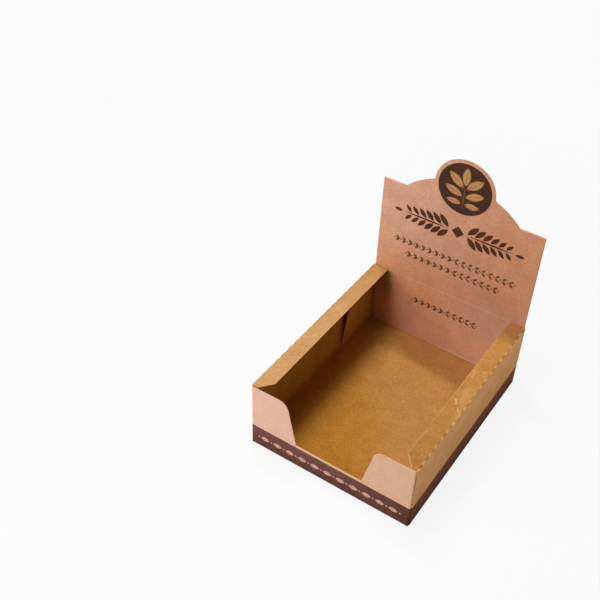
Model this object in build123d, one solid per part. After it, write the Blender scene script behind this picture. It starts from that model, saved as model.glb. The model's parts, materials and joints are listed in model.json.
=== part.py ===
from build123d import *
import math
import os

# An open-front counter display carton, die-cut from one sheet of kraft board and folded up.
# It stands on Z = 0 with its front towards -Y and +X to its right. The origin is on the floor,
# under the middle of the tray. All lengths are in millimetres and all angles in degrees.

# Overall size of the tray
width = 160.0
depth = 205.0
wall_height = 70.5

# Board, folds and cutting
board = 0.6
fold_radius = 1.0
corner_radius = 1.5
score_width = 0.9
score_depth = 0.2
overrun = 3.0

# Dispensing cut-out of the front wall: its sides slope outwards and its shoulders are rounded
sill_height = 25.5
sill_width = 65.0
opening_top_width = 86.0
shoulder_radius = 10.0
sill_radius = 1.5

# Side walls, whose raw ends stop short of the rounded corners
side_setback = 2.0
flap_fold_gap = 0.1

# Corner tabs, folded from the front and back walls and lying inside the side walls
tab_gap = 0.15
tab_clearance = 0.4
tab_corner_radius = 4.0
front_tab_length = 46.0
back_tab_length = 58.0
sprung_tab_offset = 8.0

# Dust flaps on the perforated top folds of the side walls
flap_width = 15.7
flap_end_clearance = 0.3
flap_chamfer_width = 9.5
flap_chamfer_length = 12.0
flap_corner_radius = 3.0
perforation_pitch = 10.0
perforation_cut = 4.0
perforation_depth = 0.4

# Header: the lid stands up from the back wall, folds over at its middle and tucks in behind the tray
header_rise = 101.2
header_inset = 1.6
hairpin_gap = 0.8
tuck_inset = 1.3
tuck_corner_radius = 4.0
tuck_clearance = 0.4

# Crest of the header, an arch with a round medallion, cut free of the fold
crest_chord = 110.4
crest_rise = 23.4
crest_flare = 3.0
crest_root_radius = 6.0
crest_gap = 0.3
medallion_radius = 28.9
medallion_rise = 17.9
crest_fillet_radius = 2.5

# Places that follow from the sizes above
quarter_turn = 90.0
half_turn = 180.0
half_width = width / 2
half_depth = depth / 2
tab_face = half_width - board - tab_gap
flat_half = tab_face - corner_radius
side_top = wall_height - board - flap_fold_gap
tab_bottom = board + tab_clearance
tab_top = wall_height - board - tab_clearance
lid_front_back_face = half_depth - board - hairpin_gap
lid_front_face = lid_front_back_face - board
hairpin_radius = board + hairpin_gap / 2
hairpin_mid_radius = hairpin_radius - board / 2
crease_height = wall_height + header_rise
hairpin_base = crease_height - hairpin_radius
half_header = half_width - header_inset
half_tuck = half_header - tuck_inset
half_chord = crest_chord / 2
half_root = half_chord + crest_flare
hinge_x = half_width - board / 2
hinge_z = wall_height - board / 2


def panel(left, right, bottom, top):
    """A rectangle between two uprights and two levels."""
    return Pos((left + right) / 2, (bottom + top) / 2) * Rectangle(right - left, top - bottom)


def rounded_face(*corners):
    """A closed outline through corners that each give X, Y and a rounding radius."""
    points = [(x, y) for x, y, radius in corners]
    radii = [radius for x, y, radius in corners]
    return make_face(FilletPolyline(*points, radius=radii, close=True))


def across(outline, back_face):
    """Board across the carton, drawn in X and Z, with its back face at the given Y."""
    return extrude(Plane.XZ.offset(-back_face) * outline, board)


def along(outline, left_face):
    """Board along the carton, drawn in Y and Z, with its left face at the given X."""
    return extrude(Plane.YZ.offset(left_face) * outline, board)


def bend(plane, centre, radius, start_angle, turn, length):
    """A fold of the board: an arc of its thickness pushed out along the normal of its plane."""
    ring = trace(CenterArc(centre, radius - board / 2, start_angle, turn), board)
    return extrude(plane * ring, length)


def floor():
    """The floor panel, with the four folds that turn up into the walls."""
    long_half = half_depth - fold_radius
    side_half = half_depth - side_setback
    wide_half = half_width - fold_radius
    pieces = extrude(panel(-wide_half, wide_half, -long_half, long_half), board)
    end_plane = Plane.YZ.offset(-flat_half)
    side_plane = Plane.XZ.offset(-side_half)
    for side, start_angle in ((1, -quarter_turn), (-1, half_turn)):
        end_centre = (side * long_half, fold_radius)
        side_centre = (side * wide_half, fold_radius)
        pieces += bend(end_plane, end_centre, fold_radius, start_angle, quarter_turn, 2 * flat_half)
        pieces += bend(side_plane, side_centre, fold_radius, start_angle, quarter_turn, 2 * side_half)
    return pieces


def front_wall():
    """The front wall with its sloping, round-shouldered cut-out."""
    half_sill = sill_width / 2
    half_opening = opening_top_width / 2
    outline = rounded_face(
        (-flat_half, fold_radius, 0),
        (flat_half, fold_radius, 0),
        (flat_half, wall_height, 0),
        (half_opening, wall_height, shoulder_radius),
        (half_sill, sill_height, sill_radius),
        (-half_sill, sill_height, sill_radius),
        (-half_opening, wall_height, shoulder_radius),
        (-flat_half, wall_height, 0),
    )
    return across(outline, board - half_depth)


def side_walls():
    """The two side walls, cut off just under the folds of their dust flaps."""
    outline = panel(side_setback - half_depth, half_depth - side_setback, fold_radius, side_top)
    return along(outline, half_width - board) + along(outline, -half_width)


def crest():
    """The crest above the fold, with Y counted from the lower end of the hairpin."""
    arch_radius = (half_chord**2 + crest_rise**2) / (2 * crest_rise)
    arch = Pos(0, hairpin_radius + crest_rise - arch_radius) * Circle(arch_radius)
    medallion = Pos(0, hairpin_radius + medallion_rise) * Circle(medallion_radius)
    top = hairpin_radius + medallion_rise + medallion_radius + crest_rise
    outline = (arch + medallion) & panel(-half_chord, half_chord, hairpin_radius, top)
    outline += panel(-half_root, half_root, 0, hairpin_radius)
    limit = (half_chord + half_root) / 2
    roots = [point for point in outline.vertices() if medallion_radius < abs(point.X) < limit]
    outline = fillet(roots, crest_root_radius)
    meetings = [point for point in outline.vertices() if abs(point.X) < medallion_radius]
    return fillet(meetings, crest_fillet_radius)


def back_panel():
    """The back wall and the rear lid panel above it, with the window that the crest leaves."""
    fold_length = math.pi * hairpin_mid_radius
    window = Pos(0, hairpin_base + fold_length) * mirror(crest(), about=Plane.XZ)
    outline = panel(-flat_half, flat_half, fold_radius, wall_height)
    outline += panel(-half_header, half_header, wall_height, hairpin_base)
    return across(outline - window, half_depth)


def hairpin_folds():
    """The tight double fold at the header's two shoulders, clear of the crest between them."""
    start = half_root + crest_gap
    length = half_header - start
    centre = (lid_front_back_face + hairpin_gap / 2, hairpin_base)
    right = bend(Plane.YZ.offset(start), centre, hairpin_radius, 0, half_turn, length)
    return right + mirror(right, about=Plane.YZ)


def front_lid():
    """The front lid panel with its crest, running on down as the tuck flap."""
    tuck = panel(-half_tuck, half_tuck, board + tuck_clearance, wall_height)
    tuck = fillet(tuck.vertices().group_by(Axis.Y)[0], tuck_corner_radius)
    face = panel(-half_header, half_header, wall_height, hairpin_base)
    return across(tuck + face + Pos(0, hairpin_base) * crest(), lid_front_back_face)


def score_lines():
    """The pressed lines at the lid's two hinges, on the printed side of the board."""
    score = panel(-half_width, half_width, wall_height - score_width / 2, wall_height + score_width / 2)
    rear = extrude(Plane.XZ.offset(score_depth - half_depth) * score, -overrun)
    front = extrude(Plane.XZ.offset(-score_depth - lid_front_face) * score, overrun)
    return rear + front


def corner_fold(x_side, y_side, start_angle):
    """One rounded vertical corner, between a front or back wall and its tab."""
    centre = (x_side * flat_half, y_side * (half_depth - corner_radius))
    return bend(Plane.XY, centre, corner_radius, start_angle, quarter_turn, wall_height)


def flat_tab(x_side, y_side, length):
    """A corner tab lying flat along its side wall."""
    root = half_depth - corner_radius
    outline = panel(half_depth - length, root, tab_bottom, tab_top)
    outline = fillet(outline.vertices().group_by(Axis.X)[0], tab_corner_radius)
    if y_side < 0:
        outline = mirror(outline, about=Plane.YZ)
    return along(outline, tab_face - board if x_side > 0 else -tab_face)


def sprung_tab():
    """The left back tab, whose free end has sprung off the wall at the top."""
    root = Polyline(
        (-tab_face, tab_bottom),
        (board - tab_face, tab_bottom),
        (board - tab_face, tab_top),
        (-tab_face, tab_top),
        close=True,
    )
    free_end = Polyline(
        (-tab_face, tab_bottom),
        (board - tab_face, tab_bottom),
        (board - tab_face + sprung_tab_offset, tab_top),
        (sprung_tab_offset - tab_face, tab_top),
        close=True,
    )
    root_plane = Plane.XZ.offset(corner_radius - half_depth)
    end_plane = Plane.XZ.offset(back_tab_length - half_depth)
    return loft([root_plane * make_face(root), end_plane * make_face(free_end)], ruled=True)


def folded_carton():
    """The whole folded sheet, apart from the two dust flaps."""
    sheet = floor() + front_wall() + side_walls()
    sheet += back_panel() + hairpin_folds() + front_lid()
    corners = ((1, 1), (-1, 1), (-1, -1), (1, -1))
    for turn, (x_side, y_side) in enumerate(corners):
        sheet += corner_fold(x_side, y_side, turn * quarter_turn)
    sheet += flat_tab(1, 1, back_tab_length) + sprung_tab()
    sheet += flat_tab(1, -1, front_tab_length) + flat_tab(-1, -1, front_tab_length)
    return sheet - score_lines()


def right_dust_flap():
    """A dust flap folded in flat, with a round, perforated edge on its hinge line."""
    inner = half_width - flap_width
    front = corner_radius + flap_end_clearance - half_depth
    back = lid_front_face - flap_end_clearance
    length = back - front
    outline = rounded_face(
        (hinge_x, front, 0),
        (hinge_x, back, 0),
        (inner, back, 0),
        (inner, front + flap_chamfer_length, flap_corner_radius),
        (inner + flap_chamfer_width, front, flap_corner_radius),
    )
    flap = extrude(Plane.XY.offset(wall_height - board) * outline, board)
    round_edge = extrude(Plane.XZ.offset(-front) * Pos(hinge_x, hinge_z) * Circle(board / 2), -length)
    cut_width = board / 2 + perforation_depth + overrun
    cutter = Box(cut_width, perforation_cut, board + overrun)
    cut_x = hinge_x - perforation_depth + cut_width / 2
    count = math.floor((length - perforation_cut) / perforation_pitch)
    cuts = Pos(cut_x, (front + back) / 2, hinge_z) * GridLocations(0, perforation_pitch, 1, count) * cutter
    return flap + round_edge - cuts


os.makedirs("parts", exist_ok=True)
right_flap = right_dust_flap()
nodes = {
    "folded_carton": folded_carton(),
    "right_dust_flap": right_flap,
    "left_dust_flap": mirror(right_flap, about=Plane.YZ),
}
for name, shape in nodes.items():
    export_step(shape, f"parts/{name}.step")
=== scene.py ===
import json
import math

import bmesh
import bpy
from mathutils import Matrix, Vector
from mathutils.bvhtree import BVHTree


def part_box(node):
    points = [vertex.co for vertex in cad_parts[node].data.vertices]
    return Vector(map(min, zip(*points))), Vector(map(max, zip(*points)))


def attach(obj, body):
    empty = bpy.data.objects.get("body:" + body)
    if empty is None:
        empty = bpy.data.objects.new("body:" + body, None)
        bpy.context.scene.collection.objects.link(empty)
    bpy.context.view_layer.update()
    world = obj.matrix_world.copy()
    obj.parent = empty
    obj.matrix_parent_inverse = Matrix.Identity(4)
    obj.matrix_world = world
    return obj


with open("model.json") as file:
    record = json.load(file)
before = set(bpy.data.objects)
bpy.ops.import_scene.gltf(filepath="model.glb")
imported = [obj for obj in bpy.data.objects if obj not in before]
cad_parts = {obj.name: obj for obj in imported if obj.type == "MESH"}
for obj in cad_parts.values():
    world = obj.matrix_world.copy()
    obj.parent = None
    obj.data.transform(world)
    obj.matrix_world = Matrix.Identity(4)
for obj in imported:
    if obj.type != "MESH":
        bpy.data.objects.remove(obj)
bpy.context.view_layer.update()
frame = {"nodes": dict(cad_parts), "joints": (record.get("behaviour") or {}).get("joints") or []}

# The folded board, in metres. The outside sizes and the flaps' fold line come from the frame.
_, carton_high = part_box("folded_carton")
half_width = carton_high.x
half_depth = carton_high.y
board = 0.0006
hairpin_gap = 0.0008
medallion_radius = 0.0289
wall_height = frame["joints"][0]["pos_m"][2] + board / 2
lid_front_face = half_depth - 2 * board - hairpin_gap
lid_axis_y = half_depth - board - hairpin_gap / 2
flap_low, flap_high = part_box("right_dust_flap")
flap_chamfer_width = 0.0095
flap_chamfer_length = 0.0120
perforation_pitch = 0.0100
tray_middle = Vector((0, 0, wall_height / 2))
quarter_turn = 90.0
half_turn = 180.0
full_turn = 360.0

# The two sides of the middle, each as a sign and the angle that runs out from there
sides = ((1, 0.0), (-1, half_turn))

# How a face is told from its neighbours: a cut edge has more board behind it, a fold leans off the axes
edge_board_share = 1.5
probe_share = 0.05
square_share = 0.97
facing_share = 0.5
pressed_depth = 0.0001

# Print on the outside of the board: a dark band around the foot, with a row of leaves on the front
band_top = 0.0234
band_blur = 0.00012
row_height = 0.0118
row_side_leaves = 5
row_pitch = 0.0129
row_leaf_length = 0.0092
row_leaf_width = 0.0048
row_dot_radius = 0.0009
row_blur = 0.00015
row_half_length = row_side_leaves * row_pitch + row_pitch / 2 + row_dot_radius + row_blur

# Print on the header, laid on as films of ink in layers that are counted from the board
ink_film = 0.00005
base_layer = 1
sprig_rim_layer = 2
sprig_leaf_layer = 3
leaf_steps = 12
disc_steps = 96
dot_steps = 20
disc_radius = 0.0255
disc_height = carton_high.z - medallion_radius

# Sprig on the disc: one leaf on top of a stem and pairs below it
sprig_stem_foot = -0.0215
sprig_stem_length = 0.0240
sprig_stem_width = 0.0012
sprig_rim = 0.0007
sprig_midrib = 0.00025
sprig_leaf_width_share = 0.44
sprig_top_leaf = 0.0190
sprig_pairs = (
    {"height": 0.0010, "angle": 40.0, "length": 0.0200},
    {"height": -0.0075, "angle": 21.0, "length": 0.0190},
    {"height": -0.0150, "angle": 2.0, "length": 0.0150},
)

# Garland under the crest: two mirrored branches with a lozenge between them
garland_height = 0.1440
garland_lozenge = 0.0062
lozenge_corners = 4
garland_start = 0.0095
garland_length = 0.0450
garland_stem_width = 0.0018
garland_pairs = 6
garland_first_leaf = 0.0150
garland_last_leaf = 0.0090
garland_leaf_angle = 48.0
garland_leaf_width_share = 0.38
garland_leaf_gap = 0.0013

# Fine rows of paired leaves and dots below the garland and on the tuck flap
header_rows = (
    {"height": 0.1115, "length": 0.1280},
    {"height": 0.0980, "length": 0.0980},
)
tuck_row = {"height": 0.0475, "length": 0.0700}
fine_pitch = 0.0068
fine_leaf_length = 0.0053
fine_leaf_width = 0.0026
fine_leaf_angle = 40.0
fine_leaf_gap = 0.0003
fine_dot_radius = 0.0008

# Noise on the board: cells in a metre, layers of finer detail and the weight of each finer layer
noise_patterns = {
    "cloud": {"Scale": 60.0, "Detail": 3.0, "Roughness": 0.55},
    "felt": {"Scale": 430.0, "Detail": 2.0, "Roughness": 0.55},
    "fibre": {"Scale": 1700.0, "Detail": 2.0, "Roughness": 0.60},
    "fleck": {"Scale": 1000.0, "Detail": 1.0, "Roughness": 0.55},
    "strand": {"Scale": 1300.0, "Detail": 1.0, "Roughness": 0.55},
    "crack": {"Scale": 700.0, "Detail": 4.0, "Roughness": 0.70},
    "rub": {"Scale": 210.0, "Detail": 4.0, "Roughness": 0.65},
    "ragged": {"Scale": 300.0, "Detail": 3.0, "Roughness": 0.60},
    "patchy": {"Scale": 50.0, "Detail": 2.0, "Roughness": 0.55},
}
grain_run_shares = (0.18, 1.0, 1.0)

# Levels of the noise at which a mark begins and is full
mark_levels_shares = {
    "fleck": (0.69, 0.76),
    "strand": (0.66, 0.76),
    "crack": (0.46, 0.62),
    "rub": (0.66, 0.78),
    "patchy": (0.32, 0.56),
}

# Tone of the pulp, strength of the marks on it and the feel of the surface
tone_layer_shares = {"cloud": 0.40, "felt": 0.42}
fibre_share = 0.46
tone_range_shares = (0.40, 0.88)
fleck_share = 0.34
strand_share = 0.12
rub_share = 0.25
crack_share = 0.22
front_crack_share = 0.25
roughness_range_shares = (-0.8, 0.8)
sheen_share = 0.10
tooth_depth = 0.00008
tooth_share = 0.20

# Wear and painted shade on the dust flaps: pale wear on cut edges and at the fold's cuts, and painted
# shade, dark along the rest of the fold
rim_width = 0.0014
rim_share = 0.42
nick_half_length = 0.0035
nick_reach = 0.0017
nick_core_share = 0.25
nick_share = 0.80
fold_shade_share = 0.42
ragged_share = 1.6
left_fold_share = 0.15
right_fold_share = 1.0

# Streaks across the dust flaps, each between two ends in X and Y: pale scuffs of wear, and dark creases
# that are painted shadow beside raised creases
streak_core_share = 0.10
right_flap_tip = (flap_low.x + flap_chamfer_width, flap_low.y)
right_flap_corner = (flap_low.x, flap_low.y + flap_chamfer_length)
right_flap_scuffs = (
    {"ends": (right_flap_tip, right_flap_corner), "radius": 0.0011, "share": 0.70},
    {"ends": ((0.0709, -0.0195), (0.0682, -0.0146)), "radius": 0.0016, "share": 0.80},
    {"ends": ((0.0767, -0.0269), (0.0744, -0.0234)), "radius": 0.0013, "share": 0.60},
    {"ends": ((0.0795, -0.0365), (0.0783, -0.0260)), "radius": 0.0013, "share": 0.50},
    {"ends": ((0.0750, -0.0150), (0.0745, 0.0010)), "radius": 0.0090, "share": 0.24},
    {"ends": ((0.0645, -0.0105), (0.0643, -0.0080)), "radius": 0.0009, "share": 0.55},
    {"ends": ((0.0704, 0.0000), (0.0712, 0.0016)), "radius": 0.0014, "share": 0.40},
    {"ends": ((0.0648, 0.0160), (0.0642, 0.0205)), "radius": 0.0011, "share": 0.45},
    {"ends": ((0.0682, 0.0150), (0.0668, 0.0245)), "radius": 0.0015, "share": 0.38},
    {"ends": ((0.0735, 0.0262), (0.0758, 0.0300)), "radius": 0.0013, "share": 0.45},
)
# Painted shadow: the dark lines beside the raised creases on the right flap
right_flap_crease_shadows = (
    {"ends": ((0.0750, -0.0232), (0.0703, -0.0143)), "radius": 0.0014, "share": 0.40},
    {"ends": ((0.0703, -0.0143), (0.0654, -0.0108)), "radius": 0.0011, "share": 0.34},
)
left_flap_scuffs = (
    {"ends": ((-0.0712, -0.0740), (-0.0700, -0.0715)), "radius": 0.0020, "share": 0.45},
    {"ends": ((-0.0785, -0.0255), (-0.0760, -0.0240)), "radius": 0.0035, "share": 0.35},
    {"ends": ((-0.0705, -0.0225), (-0.0700, -0.0190)), "radius": 0.0025, "share": 0.45},
    {"ends": ((-0.0735, 0.0240), (-0.0725, 0.0265)), "radius": 0.0040, "share": 0.35},
)

# Ways along which the colour of a side drifts, each from a start to an end
fold_blend = 0.02
# Painted shade: the header above the tray turns darker and warmer towards the right
header_right_shade_ways = (
    ((-half_width, 0, 0), (half_width, 0, 0)),
    ((0, 0, wall_height - fold_blend), (0, 0, wall_height + fold_blend)),
)
# Painted light: warm light bounced from the kraft inside, low on the header and tuck flap towards the
# left
header_bounce_ways = (
    ((0.060, 0, 0), (-0.030, 0, 0)),
    ((0, 0, 0.135), (0, 0, 0.055)),
)
# Painted light: the tuck flap turns lighter towards its foot
tuck_foot_light_ways = (((0, 0, 0.058), (0, 0, 0.012)),)
tuck_rim_ways = (
    ((-0.030, 0, 0), (0.020, 0, 0)),
    ((0, 0, 0.0045), (0, 0, 0.0020)),
)
# Painted shade: the tuck flap's left end, under the left dust flap
tuck_end_shade_ways = (
    ((-0.054, 0, 0), (-0.068, 0, 0)),
    ((0, 0, wall_height), (0, 0, 0.062)),
)
# Painted shade: deeper shade in the tuck flap's upper left corner
tuck_corner_shade_ways = (
    ((-0.052, 0, 0), (-0.066, 0, 0)),
    ((0, 0, 0.024), (0, 0, 0.050)),
    ((0, 0, wall_height), (0, 0, 0.064)),
)
# Painted shade: the front's print darkens towards the right
front_right_shade_ways = (((-half_width, 0, 0), (half_width, 0, 0)),)
# Painted shade: the printed band darkens towards the foot
band_foot_shade_ways = (((0, 0, band_top), (0, 0, 0)),)
# Painted shade: the front band darkens towards the right
band_right_shade_ways = (((0, 0, 0), (half_width, 0, 0)),)
side_foot_ways = (((0, 0, wall_height), (0, 0, band_top)),)
# Painted light and shade: the tray's inside runs from golden, in shade at the front left, to tan where
# white light falls at the back right
inner_lit_ways = (((-0.039, -0.031, 0), (0.015, 0.012, 0)),)
# Painted light: pink light bounced from the tuck flap onto the floor near the back
inner_pink_bounce_ways = (
    ((-0.050, 0, 0), (0.010, 0, 0)),
    ((0, 0.060, 0), (0, 0.080, 0)),
)
# Painted shade: the olive tint of the shade inside the left wall
inner_shade_tint_ways = (
    ((-0.066, 0, 0), (-0.074, 0, 0)),
    ((0, -0.101, 0), (0, -0.098, 0)),
    ((0, 0, board), (0, 0, 0.008)),
    ((0, 0, wall_height), (0, 0, 0.042)),
)
# Painted shade: the left flap darkens towards its back
left_flap_back_shade_ways = (((0, 0.020, 0), (0, flap_high.y, 0)),)
# Painted shade: the right flap lightens from its darker front towards the middle
right_flap_middle_ways = (((0, flap_low.y, 0), (0, 0, 0)),)
# Painted light: pink light bounced from the header onto the right flap's back end
right_flap_back_bounce_ways = (((0, 0.078, 0), (0, 0.092, 0)),)

# Camera that took the view, as fitted to the tray's edges
camera_place = (0.2565, -0.5507, 0.6565)
camera_azimuth = 32.91
camera_elevation = 41.14
camera_roll = 2.02
camera_lens = 57.46
camera_sensor = 36.0

# Lamps in metres, with the level that each brings to its aim, where 1 shows a colour as it is written
lamps = {
    "overhead_strip": {
        "place": (-0.53, 0.37, 1.62),
        "aim": (0, 0.37, 0),
        "sizes": (0.07, 0.60),
        "level": 0.46,
    },
    "overhead_softbox": {
        "place": (-0.34, -0.22, 1.45),
        "aim": (0, 0, 0),
        "sizes": (0.55, 0.55),
        "level": 0.41,
    },
    "front_strip": {
        "place": (-0.25, -0.94, 0.50),
        "aim": (0, 0, 0),
        "sizes": (0.06, 0.70),
        "level": 0.25,
    },
    "front_softbox": {
        "place": (-0.62, -0.70, 0.42),
        "aim": (0, 0, 0),
        "sizes": (0.45, 0.45),
        "level": 0.23,
    },
    "right_softbox": {
        "place": (0.90, 0.40, 0.13),
        "aim": (0, 0, 0),
        "sizes": (0.60, 0.22),
        "level": 0.29,
    },
}

# Surroundings: the backdrop's faint light, and a floor that turns plain white further out
ambient_level = 0.13
floor_reach = 12.0
floor_drop = 0.0001
floor_white_share = 0.92
floor_fade_start = 0.30
floor_fade_end = 0.60

# Colours of board and ink, linear, each as a light and a deep tone of the pulp
front_print = ((0.775, 0.490, 0.384), (0.67, 0.391, 0.288))
# Painted shade: the front's print, darker and warmer towards the right
front_print_right_shade = ((0.75, 0.458, 0.303), (0.65, 0.364, 0.227))
# Painted shade: the header carries the front's print, in a darker, warmer copy for the dimmer light on
# it
header_print_shaded = ((0.735, 0.423, 0.296), (0.594, 0.304, 0.187))
# Painted shade: the header's print, darker and warmer towards its right
header_print_right_shade = ((0.675, 0.323, 0.181), (0.542, 0.226, 0.112))
# Painted light: the print in warm light bounced from the kraft inside
header_print_bounce_light = ((0.80, 0.372, 0.201), (0.646, 0.263, 0.122))
# Painted light: the tuck flap's print, lighter towards its foot
tuck_print_foot_light = ((0.86, 0.460, 0.290), (0.70, 0.330, 0.180))
tuck_print_rim = ((0.93, 0.560, 0.400), (0.78, 0.420, 0.280))
# Painted shade: the tuck flap's print where the left dust flap shades it
tuck_print_end_shade = ((0.62, 0.325, 0.160), (0.49, 0.228, 0.094))
# Painted shade: the tuck flap's print in the deep shade of its upper left corner
tuck_print_corner_shade = ((0.42, 0.245, 0.120), (0.332, 0.172, 0.071))
score_print = ((0.87, 0.520, 0.360), (0.70, 0.385, 0.250))
# The two dust flaps are one board: the difference between the left flap's tone and the right flap's
# darker tones is painted light and shade
left_flap_kraft = ((0.605, 0.336, 0.146), (0.45, 0.222, 0.078))
# Painted shade: the left flap at its back
left_flap_kraft_back_shade = ((0.510, 0.282, 0.108), (0.379, 0.185, 0.057))
side_kraft = ((0.63, 0.328, 0.134), (0.475, 0.216, 0.071))
side_kraft_foot = ((0.545, 0.277, 0.113), (0.407, 0.182, 0.060))
# Painted shade: the right flap's darker tone at its front
right_flap_kraft_front_shade = ((0.455, 0.212, 0.056), (0.325, 0.128, 0.0235))
right_flap_kraft_middle = ((0.56, 0.270, 0.076), (0.40, 0.165, 0.033))
# Painted light: the right flap's back end in pink light bounced from the header
right_flap_kraft_back_bounce = ((0.58, 0.264, 0.102), (0.418, 0.161, 0.044))
# Painted light and shade: the golden tone is the inside in shade, the tan tone where white light falls
inner_kraft = ((0.515, 0.230, 0.034), (0.376, 0.145, 0.014))
inner_kraft_tan = ((0.525, 0.256, 0.075), (0.382, 0.165, 0.034))
# Painted light: the floor in pink light bounced from the tuck flap
inner_kraft_pink_bounce = ((0.565, 0.250, 0.090), (0.412, 0.160, 0.041))
# Painted shade: the olive tint of the shade inside the left wall
inner_kraft_shade_tint = ((0.515, 0.308, 0.061), (0.376, 0.194, 0.026))
raw_board = ((0.74, 0.50, 0.29), (0.56, 0.34, 0.17))
perforated_board = ((0.75, 0.490, 0.225), (0.57, 0.330, 0.125))
# Painted shade: the header's side edges, darkened for the shade between its two layers
header_edge_shade = ((0.30, 0.150, 0.085), (0.21, 0.098, 0.052))
front_band = ((0.203, 0.080, 0.063), (0.136, 0.050, 0.039))
# Painted shade: the front band at its foot
front_band_foot_shade = ((0.138, 0.054, 0.042), (0.092, 0.034, 0.026))
# Painted shade: the front band towards its right corner
front_band_right_shade = ((0.141, 0.056, 0.041), (0.094, 0.034, 0.025))
side_band = ((0.155, 0.045, 0.016), (0.102, 0.028, 0.010))
# Painted shade: the side band at its foot
side_band_foot_shade = ((0.085, 0.028, 0.018), (0.056, 0.018, 0.011))
disc_ink = ((0.085, 0.036, 0.022), (0.052, 0.020, 0.011))
garland_ink = ((0.110, 0.040, 0.018), (0.062, 0.021, 0.009))
fine_ink = ((0.250, 0.100, 0.050), (0.170, 0.062, 0.028))
sprig_ink = ((0.62, 0.34, 0.150), (0.43, 0.205, 0.075))
sprig_rim_ink = ((0.235, 0.105, 0.045), (0.160, 0.066, 0.026))

# Colours of one tone, linear
row_ink = (0.58, 0.33, 0.26)
fleck_brown = (0.17, 0.070, 0.020)
fibre_pale = (0.82, 0.62, 0.42)
worn_kraft = (0.70, 0.380, 0.145)
# Painted shade: the dark along the dust flaps' fold and beside their creases
painted_crease_shade = (0.20, 0.090, 0.020)
paper_white = (0.955, 0.955, 0.955)
table_white = (0.90, 0.90, 0.90)


def node(tree, kind, inputs=None, **settings):
    """A shader node with its settings, and its inputs as values or as the sockets they come from."""
    made = tree.nodes.new(kind)
    for name, value in settings.items():
        setattr(made, name, value)
    for name, value in (inputs or {}).items():
        if isinstance(value, bpy.types.NodeSocket):
            tree.links.new(value, made.inputs[name])
        else:
            made.inputs[name].default_value = value
    return made


def sum_of(tree, operation, *values, clamped=False):
    """The result of a sum on values or sockets, kept between 0 and 1 if asked."""
    inputs = dict(enumerate(values))
    made = node(tree, "ShaderNodeMath", inputs, operation=operation, use_clamp=clamped)
    return made.outputs["Value"]


def vector_sum_of(tree, operation, output, *values):
    """An output of a sum on vectors or sockets."""
    made = node(tree, "ShaderNodeVectorMath", dict(enumerate(values)), operation=operation)
    return made.outputs[output]


def noise(tree, place, name):
    """One of the noise patterns, from 0 to 1."""
    return node(tree, "ShaderNodeTexNoise", {"Vector": place, **noise_patterns[name]}).outputs["Fac"]


def along_grain(tree, place):
    """The place squeezed so that a pattern on it runs along the grain of the board."""
    inputs = {"Vector": place, "Scale": grain_run_shares}
    return node(tree, "ShaderNodeMapping", inputs).outputs["Vector"]


def ramp(tree, value, start, end):
    """A smooth step from 0 at start to 1 at end."""
    inputs = {"Value": value, "From Min": start, "From Max": end}
    return node(tree, "ShaderNodeMapRange", inputs, interpolation_type="SMOOTHSTEP").outputs["Result"]


def marks(tree, place, name):
    """1 where a noise pattern is high enough to leave a mark."""
    return ramp(tree, noise(tree, place, name), *mark_levels_shares[name])


def toward(tree, place, start, end):
    """How far a place lies along the way from start to end, as a smooth step from 0 to 1."""
    way = Vector(end) - Vector(start)
    reach = vector_sum_of(tree, "DOT_PRODUCT", "Value", place, way)
    return ramp(tree, reach, way.dot(Vector(start)), way.dot(Vector(end)))


def mixed(tree, share, first, second):
    """A blend of two colours or colour sockets."""
    made = node(tree, "ShaderNodeMix", {"Factor": share}, data_type="RGBA")
    colour_inputs = [socket for socket in made.inputs if socket.type == "RGBA"]
    for socket, value in zip(colour_inputs, (first, second)):
        if isinstance(value, bpy.types.NodeSocket):
            tree.links.new(value, socket)
        else:
            socket.default_value = (*value, 1.0)
    return next(socket for socket in made.outputs if socket.type == "RGBA")


def toned(tree, tone, tones):
    """The colour at a tone of the pulp, between a light and a deep one."""
    light, deep = tones
    return mixed(tree, tone, deep, light)


def pulp(tree, place):
    """The tone of the pulp from 0 to 1, made of clouds, felt marks and fibres, and the fibres alone."""
    fibres = noise(tree, along_grain(tree, place), "fibre")
    tone = sum_of(tree, "MULTIPLY", fibres, fibre_share)
    for name, share in tone_layer_shares.items():
        tone = sum_of(tree, "MULTIPLY_ADD", noise(tree, place, name), share, tone)
    return ramp(tree, tone, *tone_range_shares), fibres


def finish_surface(tree, colour, fibres):
    """Colour, roughness and the tooth of the paper on the material's own shader."""
    shader = tree.nodes["Principled BSDF"]
    tree.links.new(colour, shader.inputs["Base Color"])
    tree.links.new(ramp(tree, fibres, *roughness_range_shares), shader.inputs["Roughness"])
    shader.inputs["Specular IOR Level"].default_value = sheen_share
    relief = {"Strength": tooth_share, "Distance": tooth_depth, "Height": fibres}
    tooth = node(tree, "ShaderNodeBump", relief)
    tree.links.new(tooth.outputs["Normal"], shader.inputs["Normal"])


def new_material(name):
    """A new material with its node tree, and the place on the piece."""
    material = bpy.data.materials.new(name)
    material.use_nodes = True
    tree = material.node_tree
    place = node(tree, "ShaderNodeTexCoord").outputs["Object"]
    return material, tree, place


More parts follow.
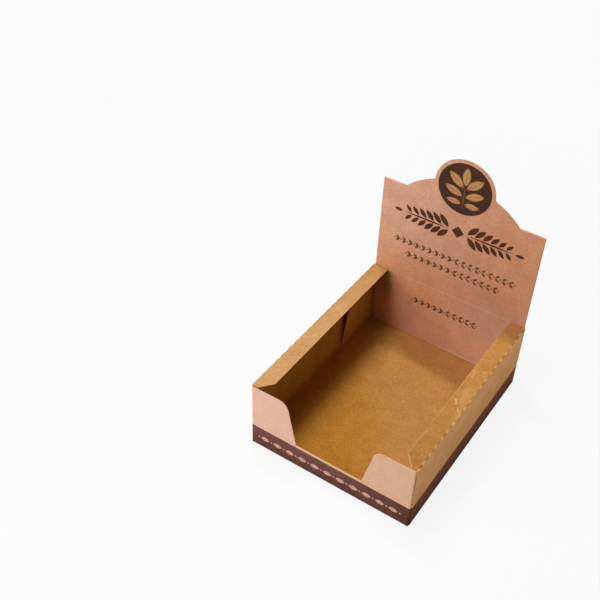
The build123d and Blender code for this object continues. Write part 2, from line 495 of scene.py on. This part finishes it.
def leaf_row(tree, across, up):
    """1 inside a row of leaves with dots between them, drawn along the band."""
    half_pitch = row_pitch / 2
    level = sum_of(tree, "ABSOLUTE", sum_of(tree, "SUBTRACT", up, row_height))
    from_leaf = sum_of(tree, "WRAP", across, half_pitch, -half_pitch)
    reach = sum_of(tree, "DIVIDE", from_leaf, row_leaf_length / 2)
    taper = sum_of(tree, "SUBTRACT", 1.0, sum_of(tree, "MULTIPLY", reach, reach))
    edge = sum_of(tree, "MULTIPLY", taper, row_leaf_width / 2)
    leaves = ramp(tree, sum_of(tree, "SUBTRACT", edge, level), -row_blur, row_blur)
    from_dot = sum_of(tree, "SUBTRACT", sum_of(tree, "ABSOLUTE", from_leaf), half_pitch)
    square = sum_of(tree, "MULTIPLY", from_dot, from_dot)
    distance = sum_of(tree, "SQRT", sum_of(tree, "MULTIPLY_ADD", level, level, square))
    dots = ramp(tree, distance, row_dot_radius + row_blur, row_dot_radius - row_blur)
    inside = sum_of(tree, "LESS_THAN", sum_of(tree, "ABSOLUTE", across), row_half_length)
    return sum_of(tree, "MULTIPLY", sum_of(tree, "MAXIMUM", leaves, dots), inside)


def rim_wear(tree, place):
    """1 along the cut edges of a dust flap, in patches and with a ragged border."""
    split = node(tree, "ShaderNodeSeparateXYZ", {"Vector": place})
    across = sum_of(tree, "ABSOLUTE", split.outputs["X"])
    from_side = sum_of(tree, "SUBTRACT", across, flap_low.x)
    slope = Vector((flap_chamfer_length, flap_chamfer_width)).normalized()
    start = slope.x * flap_low.x + slope.y * (flap_low.y + flap_chamfer_length)
    along_slope = sum_of(tree, "MULTIPLY_ADD", split.outputs["Y"], slope.y, -start)
    from_slope = sum_of(tree, "MULTIPLY_ADD", across, slope.x, along_slope)
    ragged = sum_of(tree, "MULTIPLY_ADD", noise(tree, place, "ragged"), rim_width, -rim_width / 2)
    from_edge = sum_of(tree, "ADD", sum_of(tree, "MINIMUM", from_side, from_slope), ragged)
    return sum_of(tree, "MULTIPLY", ramp(tree, from_edge, rim_width, 0.0), marks(tree, place, "patchy"))


def fold_wear_and_shade(tree, place):
    """1 at the cuts of a dust flap's perforated fold, where it is worn, and 1 along the rest of the
    fold, where shade is painted, both ragged.
    """
    split = node(tree, "ShaderNodeSeparateXYZ", {"Vector": place})
    half_pitch = perforation_pitch / 2
    from_middle = sum_of(tree, "SUBTRACT", split.outputs["Y"], (flap_low.y + flap_high.y) / 2)
    from_cut = sum_of(tree, "WRAP", from_middle, half_pitch, -half_pitch)
    step = sum_of(tree, "DIVIDE", from_cut, nick_half_length)
    across = sum_of(tree, "ABSOLUTE", split.outputs["X"])
    inward = sum_of(tree, "DIVIDE", sum_of(tree, "SUBTRACT", flap_high.x, across), nick_reach)
    depth = sum_of(tree, "MULTIPLY", inward, inward)
    uneven = sum_of(tree, "MULTIPLY_ADD", noise(tree, place, "ragged"), ragged_share, -ragged_share / 2)
    from_nick = sum_of(tree, "ADD", sum_of(tree, "MULTIPLY_ADD", step, step, depth), uneven)
    nicks = ramp(tree, from_nick, 1.0, nick_core_share)
    along = ramp(tree, sum_of(tree, "ADD", depth, uneven), 1.0, nick_core_share)
    return nicks, sum_of(tree, "SUBTRACT", along, nicks)


def streak_wear_and_shade(tree, place, streaks):
    """The strength of the streaks, each a ragged line across a dust flap, used for pale scuffs of wear
    and for painted shadow beside creases.
    """
    wear_and_shade = 0.0
    for streak in streaks:
        start, end = (Vector((*point, wall_height)) for point in streak["ends"])
        way = end - start
        pace = way / way.length_squared
        reach = vector_sum_of(tree, "DOT_PRODUCT", "Value", place, pace)
        along = sum_of(tree, "SUBTRACT", reach, pace.dot(start), clamped=True)
        nearest = vector_sum_of(tree, "MULTIPLY_ADD", "Vector", along, way, start)
        distance = vector_sum_of(tree, "DISTANCE", "Value", place, nearest)
        radius = streak["radius"]
        ragged = radius * ragged_share
        uneven = sum_of(tree, "MULTIPLY_ADD", noise(tree, place, "ragged"), ragged, -ragged / 2)
        line = ramp(tree, sum_of(tree, "ADD", distance, uneven), radius, radius * streak_core_share)
        wear_and_shade = sum_of(tree, "MAXIMUM", wear_and_shade, sum_of(tree, "MULTIPLY", line, streak["share"]))
    return wear_and_shade


def worn_and_shaded(tree, place, colour, scuffs, crease_shadows, fold_share):
    """A dust flap's colour with its wear and painted shade: rubs, then the painted shade along its fold
    and beside its creases, and then what is pale.
    """
    rubs = sum_of(tree, "MULTIPLY", marks(tree, place, "rub"), rub_share)
    colour = mixed(tree, rubs, colour, fibre_pale)
    nicks, fold_shade = fold_wear_and_shade(tree, place)
    fold_shade = sum_of(tree, "MULTIPLY", fold_shade, fold_shade_share * fold_share)
    nicks = sum_of(tree, "MULTIPLY", nicks, nick_share * fold_share)
    painted_shade = sum_of(tree, "MAXIMUM", fold_shade, streak_wear_and_shade(tree, place, crease_shadows))
    colour = mixed(tree, painted_shade, colour, painted_crease_shade)
    rim = sum_of(tree, "MULTIPLY", rim_wear(tree, place), rim_share)
    edges = sum_of(tree, "MAXIMUM", rim, nicks)
    pale = sum_of(tree, "MAXIMUM", edges, streak_wear_and_shade(tree, place, scuffs))
    return mixed(tree, pale, colour, worn_kraft)


def drifted(tree, place, tone, tones, drifts):
    """The colour at a tone of the pulp, drifting to other tones along the ways given."""
    colour = toned(tree, tone, tones)
    for far_tones, ways in drifts:
        share = 1.0
        for start, end in ways:
            share = sum_of(tree, "MULTIPLY", share, toward(tree, place, start, end))
        colour = mixed(tree, share, colour, toned(tree, tone, far_tones))
    return colour


def speckled(tree, place, colour):
    """A colour of the board with its dark flecks and pale strands."""
    flecks = sum_of(tree, "MULTIPLY", marks(tree, place, "fleck"), fleck_share)
    colour = mixed(tree, flecks, colour, fleck_brown)
    strands = sum_of(tree, "MULTIPLY", marks(tree, along_grain(tree, place), "strand"), strand_share)
    return mixed(tree, strands, colour, fibre_pale)


def band_over(tree, place, colour, ink, leafy):
    """The printed band at the foot of a wall over its colour, with or without the row of leaves."""
    split = node(tree, "ShaderNodeSeparateXYZ", {"Vector": place})
    if leafy:
        ink = mixed(tree, leaf_row(tree, split.outputs["X"], split.outputs["Z"]), ink, row_ink)
    below = ramp(tree, split.outputs["Z"], band_top + band_blur, band_top - band_blur)
    return mixed(tree, below, colour, ink)


def board_material(
    name, tones, drifts=(), band=None, band_drifts=(), leafy=False, cracked_share=0.0, wear_and_shade=None
):
    """Board in two tones, and if asked with drifts of colour, many of which paint light and shade, and
    with cracks, a printed band or wear with painted shade.
    """
    material, tree, place = new_material(name)
    tone, fibres = pulp(tree, place)
    colour = speckled(tree, place, drifted(tree, place, tone, tones, drifts))
    if cracked_share:
        cracks = sum_of(tree, "MULTIPLY", marks(tree, place, "crack"), cracked_share)
        colour = mixed(tree, cracks, colour, fibre_pale)
    if band:
        ink = drifted(tree, place, tone, band, band_drifts)
        colour = band_over(tree, place, colour, ink, leafy)
    if wear_and_shade:
        colour = worn_and_shaded(tree, place, colour, *wear_and_shade)
    finish_surface(tree, colour, fibres)
    return material


def ink_material(name, tones):
    """Ink that lets the tone of the pulp through."""
    material, tree, place = new_material(name)
    tone, fibres = pulp(tree, place)
    finish_surface(tree, toned(tree, tone, tones), fibres)
    return material


# Materials of the two sides of the board, its cut edges and its folds
header_drifts = (
    (header_print_right_shade, header_right_shade_ways),
    (header_print_bounce_light, header_bounce_ways),
    (tuck_print_foot_light, tuck_foot_light_ways),
    (tuck_print_rim, tuck_rim_ways),
    (tuck_print_end_shade, tuck_end_shade_ways),
    (tuck_print_corner_shade, tuck_corner_shade_ways),
)
front_drifts = ((front_print_right_shade, front_right_shade_ways),)
front_band_drifts = ((front_band_foot_shade, band_foot_shade_ways), (front_band_right_shade, band_right_shade_ways))
side_drifts = ((side_kraft_foot, side_foot_ways),)
side_band_drifts = ((side_band_foot_shade, band_foot_shade_ways),)
left_flap_drifts = ((left_flap_kraft_back_shade, left_flap_back_shade_ways),)
right_flap_drifts = (
    (right_flap_kraft_middle, right_flap_middle_ways),
    (right_flap_kraft_back_bounce, right_flap_back_bounce_ways),
)
inner_drifts = (
    (inner_kraft_tan, inner_lit_ways),
    (inner_kraft_pink_bounce, inner_pink_bounce_ways),
    (inner_kraft_shade_tint, inner_shade_tint_ways),
)
front_looks = (front_print, front_drifts, front_band, front_band_drifts)
side_looks = (side_kraft, side_drifts, side_band, side_band_drifts)
header_looks = (header_print_shaded, header_drifts)
left_flap_looks = (left_flap_kraft, left_flap_drifts)
right_flap_looks = (right_flap_kraft_front_shade, right_flap_drifts)
left_flap_wear_and_shade = (left_flap_scuffs, (), left_fold_share)
right_flap_wear_and_shade = (right_flap_scuffs, right_flap_crease_shadows, right_fold_share)
front_face = board_material("front_print", *front_looks, leafy=True)
front_fold = board_material("front_print_fold", *front_looks, cracked_share=front_crack_share)
header_face = board_material("header_print_shaded", *header_looks)
header_fold = board_material("header_print_fold", *header_looks, cracked_share=crack_share)
header_score = board_material("header_print_score", score_print)
outer_face = board_material("outer_kraft", *side_looks)
outer_fold = board_material("outer_kraft_fold", *side_looks, cracked_share=crack_share)
under_face = board_material("under_kraft", side_kraft)
left_flap_face = board_material("left_flap_kraft", *left_flap_looks, wear_and_shade=left_flap_wear_and_shade)
right_flap_face = board_material("right_flap_kraft_front_shade", *right_flap_looks, wear_and_shade=right_flap_wear_and_shade)
inner_face = board_material("inner_kraft", inner_kraft, inner_drifts)
flap_inner_face = board_material("flap_inner_kraft", inner_kraft_tan)
cut_edge = board_material("cut_edge", raw_board)
# Painted shade on the header's side edges
header_shaded_edge = board_material("header_cut_edge_shade", header_edge_shade)
outer_edge = board_material("outer_cut_edge", perforated_board, (), side_band, side_band_drifts)
flap_faces = {"left_dust_flap": left_flap_face, "right_dust_flap": right_flap_face}


def is_printed_side(centre, normal):
    """True on the side of the sheet that was outside when it was cut flat."""
    if centre.y > lid_front_face - board and abs(normal.y) > facing_share:
        return (centre.y - lid_axis_y) * normal.y > 0
    return normal.dot(centre - tray_middle) > 0


def surface_of(name, face, solid):
    """The material of one face: a cut edge where the board runs deep under it, or one of two sides."""
    start = face.center - face.normal * board * probe_share
    behind = solid.ray_cast(start, -face.normal)[3]
    if behind is None or behind > board * edge_board_share:
        if abs(face.center.x) > half_width - board:
            return outer_edge
        header_side = face.center.y > lid_front_face - board and abs(face.normal.x) > facing_share
        return header_shaded_edge if header_side else cut_edge
    if not is_printed_side(face.center, face.normal):
        return flap_inner_face if name in flap_faces else inner_face
    if name in flap_faces:
        return flap_faces[name]
    if face.normal.z < -facing_share:
        return under_face
    pressed = lid_front_face + pressed_depth < face.center.y < half_depth - pressed_depth
    folded = pressed or max(abs(part) for part in face.normal) < square_share
    crease_top = folded and face.normal.z > facing_share
    if face.normal.y > -facing_share and not crease_top:
        return outer_fold if folded else outer_face
    if face.center.y > 0:
        if pressed and not crease_top:
            return header_score
        return header_fold if folded else header_face
    return front_fold if folded else front_face


def paint_node(name):
    """Gives each face of a solid the material of its side of the board."""
    mesh = frame["nodes"][name].data
    corners = [corner.co for corner in mesh.vertices]
    solid = BVHTree.FromPolygons(corners, [face.vertices for face in mesh.polygons])
    chosen = [surface_of(name, face, solid) for face in mesh.polygons]
    used = list(dict.fromkeys(chosen))
    mesh.materials.clear()
    for material in used:
        mesh.materials.append(material)
    for face, material in zip(mesh.polygons, chosen):
        face.material_index = used.index(material)


for node_name in ("folded_carton", "left_dust_flap", "right_dust_flap"):
    paint_node(node_name)


def direction(degrees):
    """A unit step in X and Z at an angle from +X."""
    return Vector((math.cos(math.radians(degrees)), math.sin(math.radians(degrees))))


def blade(foot, angle, length, bulge):
    """One curved side of a leaf from foot to tip, off the midrib by a bulge of either sign."""
    along = direction(angle) * length
    aside = direction(angle + quarter_turn) * bulge
    points = []
    for step in range(leaf_steps + 1):
        share = step / leaf_steps
        rise = 1 - (2 * share - 1) ** 2
        points.append(foot + along * share + aside * rise)
    return points


def leaf(foot, angle, length, width):
    """The outline of a pointed leaf."""
    return blade(foot, angle, length, width / 2) + blade(foot, angle, length, -width / 2)[-2:0:-1]


def half_leaves(foot, angle, length, width, midrib):
    """The two halves of a leaf, apart by its midrib."""
    aside = direction(angle + quarter_turn) * midrib
    return [blade(foot + aside * side, angle, length, side * (width / 2 - midrib)) for side in (1, -1)]


def disc(centre, radius, steps):
    """The outline of a round spot."""
    return [centre + direction(full_turn * step / steps) * radius for step in range(steps)]


def film(name, outlines, layer, material):
    """Ink on the header's front: a thin closed prism for each outline, half sunk in the board."""
    shape = bmesh.new()
    thickness = layer * ink_film
    for outline in outlines:
        near = [shape.verts.new((x, lid_front_face - thickness, z)) for x, z in outline]
        far = [shape.verts.new((x, lid_front_face + thickness, z)) for x, z in outline]
        shape.faces.new(near)
        shape.faces.new(far[::-1])
        for index in range(len(outline)):
            shape.faces.new((near[index - 1], far[index - 1], far[index], near[index]))
    bmesh.ops.recalc_face_normals(shape, faces=shape.faces)
    mesh = bpy.data.meshes.new(name)
    shape.to_mesh(mesh)
    shape.free()
    mesh.materials.append(material)
    piece = bpy.data.objects.new(name, mesh)
    bpy.context.scene.collection.objects.link(piece)
    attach(piece, "carton")


def print_medallion():
    """The dark disc of the crest with a leafy sprig on it."""
    middle = Vector((0, disc_height))
    stem = middle + Vector((0, sprig_stem_foot))
    top_foot = stem + Vector((0, sprig_stem_length + sprig_rim))
    leaves = [(top_foot, quarter_turn, sprig_top_leaf)]
    for pair in sprig_pairs:
        foot = middle + Vector((sprig_stem_width, pair["height"]))
        leaves.append((foot, pair["angle"], pair["length"]))
        leaves.append((Vector((-foot.x, foot.y)), half_turn - pair["angle"], pair["length"]))
    rims = [leaf(stem, quarter_turn, sprig_stem_length, sprig_stem_width)]
    blades = []
    for foot, angle, length in leaves:
        width = length * sprig_leaf_width_share
        rims.append(leaf(foot, angle, length, width))
        inner_foot = foot + direction(angle) * sprig_rim
        inner_length = length - 2 * sprig_rim
        inner_width = width - 2 * sprig_rim
        blades += half_leaves(inner_foot, angle, inner_length, inner_width, sprig_midrib)
    spot = disc(middle, disc_radius, disc_steps)
    film("medallion_disc", [spot], base_layer, ink_material("disc_ink", disc_ink))
    film("sprig_rims", rims, sprig_rim_layer, ink_material("sprig_rim_ink", sprig_rim_ink))
    film("sprig_leaves", blades, sprig_leaf_layer, ink_material("sprig_ink", sprig_ink))


def print_garland():
    """Two leafy branches that run out from a lozenge, under the crest."""
    middle = Vector((0, garland_height))
    outlines = [disc(middle, garland_lozenge, lozenge_corners)]
    pitch = garland_length / garland_pairs
    last_width = garland_last_leaf * garland_leaf_width_share
    for side, outward in sides:
        start = middle + Vector((side * garland_start, 0))
        outlines.append(leaf(start, outward, garland_length, garland_stem_width))
        tip = start + direction(outward) * (garland_length + garland_leaf_gap)
        outlines.append(leaf(tip, outward, garland_last_leaf, last_width))
        for index in range(garland_pairs):
            share = index / (garland_pairs - 1)
            length = garland_first_leaf + (garland_last_leaf - garland_first_leaf) * share
            for lean in (1, -1):
                foot = start + Vector((side * pitch * index, lean * garland_leaf_gap))
                angle = outward + side * lean * garland_leaf_angle
                outlines.append(leaf(foot, angle, length, length * garland_leaf_width_share))
    film("header_garland", outlines, base_layer, ink_material("garland_ink", garland_ink))


def fine_row(height, length):
    """Outlines of a level row of leaf pairs and dots that run out from a dot in the middle."""
    middle = Vector((0, height))
    outlines = [disc(middle, fine_dot_radius, dot_steps)]
    pairs = round(length / 2 / fine_pitch)
    for side, outward in sides:
        for index in range(pairs):
            foot = middle + Vector((side * (index * fine_pitch + 2 * fine_dot_radius), 0))
            for lean in (1, -1):
                start = foot + Vector((0, lean * fine_leaf_gap))
                angle = outward + lean * fine_leaf_angle
                outlines.append(leaf(start, angle, fine_leaf_length, fine_leaf_width))
            dot = middle + Vector((side * (index + 1) * fine_pitch, 0))
            outlines.append(disc(dot, fine_dot_radius, dot_steps))
    return outlines


def print_fine_rows():
    """The fine rows of the header and the tuck flap."""
    ink = ink_material("fine_ink", fine_ink)
    outlines = [outline for row in header_rows for outline in fine_row(**row)]
    film("header_rows", outlines, base_layer, ink)
    film("tuck_row", fine_row(**tuck_row), base_layer, ink)


print_medallion()
print_garland()
print_fine_rows()


def area_lamp(name, place, aim, sizes, level):
    """A soft lamp that faces its aim, with the power that shows white there at the given level."""
    data = bpy.data.lights.new(name, "AREA")
    data.shape = "RECTANGLE"
    data.size, data.size_y = sizes
    way = Vector(aim) - Vector(place)
    data.energy = level * math.pi**2 * way.length_squared
    lamp = bpy.data.objects.new(name, data)
    lamp.location = place
    lamp.rotation_mode = "QUATERNION"
    lamp.rotation_quaternion = way.to_track_quat("-Z", "Y")
    bpy.context.scene.collection.objects.link(lamp)


for lamp_name, lamp_settings in lamps.items():
    area_lamp(lamp_name, **lamp_settings)


def seen_directly(tree):
    """1 for rays that reach the camera straight, or by a reflection or through glass."""
    path = node(tree, "ShaderNodeLightPath")
    seen = sum_of(tree, "MAXIMUM", path.outputs["Is Camera Ray"], path.outputs["Is Glossy Ray"])
    return sum_of(tree, "MAXIMUM", seen, path.outputs["Is Transmission Ray"])


def make_world():
    """A white backdrop that adds only a little light of its own."""
    world = bpy.data.worlds.new("studio")
    world.use_nodes = True
    tree = world.node_tree
    background = tree.nodes["Background"]
    background.inputs["Color"].default_value = (*paper_white, 1.0)
    strength = sum_of(tree, "MAXIMUM", seen_directly(tree), ambient_level)
    tree.links.new(strength, background.inputs["Strength"])
    bpy.context.scene.world = world


def make_floor():
    """A white table that bounces light, keeps a faint shadow and turns plain white further out."""
    mesh = bpy.data.meshes.new("floor")
    signs = ((-1, -1), (1, -1), (1, 1), (-1, 1))
    corners = [(floor_reach * x, floor_reach * y, -floor_drop) for x, y in signs]
    mesh.from_pydata(corners, [], [range(len(corners))])
    floor = bpy.data.objects.new("floor", mesh)
    bpy.context.scene.collection.objects.link(floor)
    material = bpy.data.materials.new("white_table")
    material.use_nodes = True
    tree = material.node_tree
    tree.nodes.clear()
    matt = node(tree, "ShaderNodeBsdfDiffuse", {"Color": (*table_white, 1.0)})
    glow = node(tree, "ShaderNodeEmission", {"Color": (*paper_white, 1.0)})
    place = node(tree, "ShaderNodeTexCoord").outputs["Object"]
    away = vector_sum_of(tree, "LENGTH", "Value", place)
    far = ramp(tree, away, floor_fade_start, floor_fade_end)
    white = sum_of(tree, "MULTIPLY_ADD", far, 1.0 - floor_white_share, floor_white_share)
    share = sum_of(tree, "MULTIPLY", seen_directly(tree), white)
    inputs = {0: share, 1: matt.outputs["BSDF"], 2: glow.outputs["Emission"]}
    both = node(tree, "ShaderNodeMixShader", inputs)
    node(tree, "ShaderNodeOutputMaterial", {"Surface": both.outputs["Shader"]})
    mesh.materials.append(material)


make_world()
make_floor()


def make_camera():
    """The camera, turned by its azimuth and elevation and then rolled about its own axis."""
    azimuth, elevation = math.radians(camera_azimuth), math.radians(camera_elevation)
    level = math.cos(elevation)
    forward = Vector((-math.sin(azimuth) * level, math.cos(azimuth) * level, -math.sin(elevation)))
    data = bpy.data.cameras.new("camera")
    data.lens = camera_lens
    data.sensor_width = camera_sensor
    camera = bpy.data.objects.new("camera", data)
    camera.location = camera_place
    camera.rotation_mode = "QUATERNION"
    roll = Matrix.Rotation(math.radians(camera_roll), 3, "Z")
    turn = forward.to_track_quat("-Z", "Y").to_matrix() @ roll
    camera.rotation_quaternion = turn.to_quaternion()
    bpy.context.scene.collection.objects.link(camera)
    bpy.context.scene.camera = camera


make_camera()
bpy.context.scene.view_settings.view_transform = "Standard"
